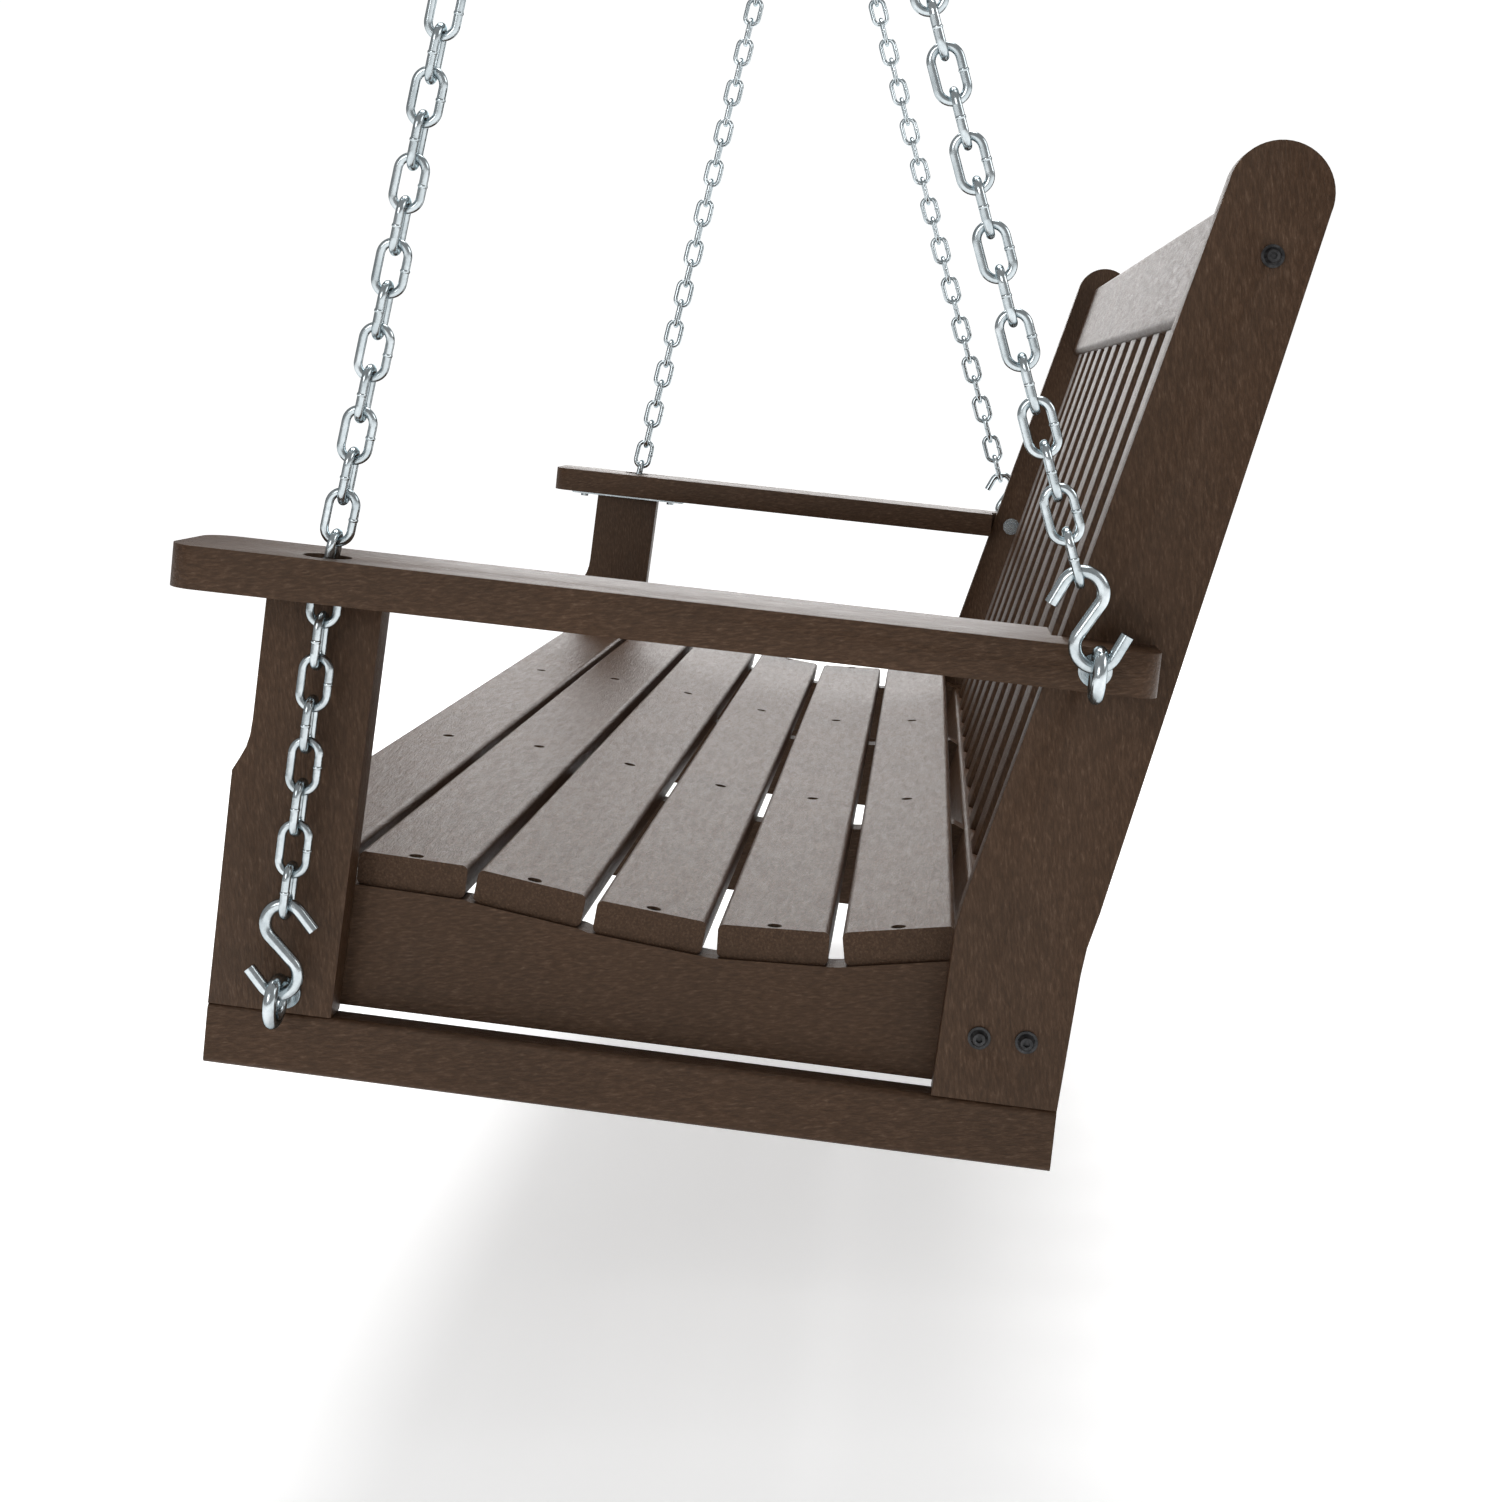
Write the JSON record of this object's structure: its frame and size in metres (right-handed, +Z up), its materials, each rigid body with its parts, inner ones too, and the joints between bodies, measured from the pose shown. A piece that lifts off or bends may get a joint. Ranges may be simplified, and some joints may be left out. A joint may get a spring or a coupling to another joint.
{
  "type": "porch swing seat",
  "caption": "Hanging garden bench of plastic lumber with a contoured slatted seat, raked slatted back, armrests, and chains with S-hooks up to ceiling hooks.",
  "frame": {"origin": "midway between the two ceiling hooks, on the underside of the beam they screw into", "axes": "+X towards the sitter's left, along the beam; +Y towards the back of the seat; +Z up"},
  "size_m": [1.447, 0.6572, 1.252],
  "materials": {
    "lumber": "matte, brushed wood-like grain, mahogany brown",
    "zinc": "galvanised, satin",
    "black_steel": "black coated"
  },
  "bodies": {
    "hooks": {"ceiling_hook_left": "zinc", "ceiling_hook_right": "zinc"},
    "swing_seat": {"chain_front_left": "zinc", "chain_front_right": "zinc", "chain_rear_left": "zinc", "chain_rear_right": "zinc", "s_hook_front_left": "zinc", "s_hook_front_right": "zinc", "s_hook_rear_left": "zinc", "s_hook_rear_right": "zinc", "eyebolt_front_left": "zinc", "eyebolt_front_right": "zinc", "eyebolt_rear_left": "zinc", "eyebolt_rear_right": "zinc", "eyebolt_washers": "zinc", "eyebolt_nuts": "zinc", "bottom_rail_left": "lumber", "bottom_rail_right": "lumber", "front_post_left": "lumber", "front_post_right": "lumber", "rear_post_left": "lumber", "rear_post_right": "lumber", "armrest_left": "lumber", "armrest_right": "lumber", "arm_plate_left": "zinc", "arm_plate_right": "zinc", "arm_plate_screws": "zinc", "seat_support_left": "lumber", "seat_support_right": "lumber", "centre_support_left": "lumber", "centre_support_right": "lumber", "front_rail": "lumber", "seat_slat_1": "lumber", "seat_slat_2": "lumber", "seat_slat_3": "lumber", "seat_slat_4": "lumber", "seat_slat_5": "lumber", "seat_slat_6": "lumber", "seat_screws": "zinc", "frame_screws": "zinc", "back_lower_rail": "lumber", "back_top_rail": "lumber", "back_slat_1": "lumber", "back_slat_2": "lumber", "back_slat_3": "lumber", "back_slat_4": "lumber", "back_slat_5": "lumber", "back_slat_6": "lumber", "back_slat_7": "lumber", "back_slat_8": "lumber", "back_slat_9": "lumber", "back_slat_10": "lumber", "back_slat_11": "lumber", "back_slat_12": "lumber", "back_slat_13": "lumber", "post_bolts": "black_steel", "post_bolt_washers": "black_steel", "threaded_inserts": "zinc", "barrel_nuts": "zinc"}
  },
  "joints": [
    {"name": "swing", "type": "hinge", "parent": "hooks", "child": "swing_seat", "pos_m": [0, 0, -0.044], "axis": [1, 0, 0], "range_deg": [-25, 25]}
  ]
}
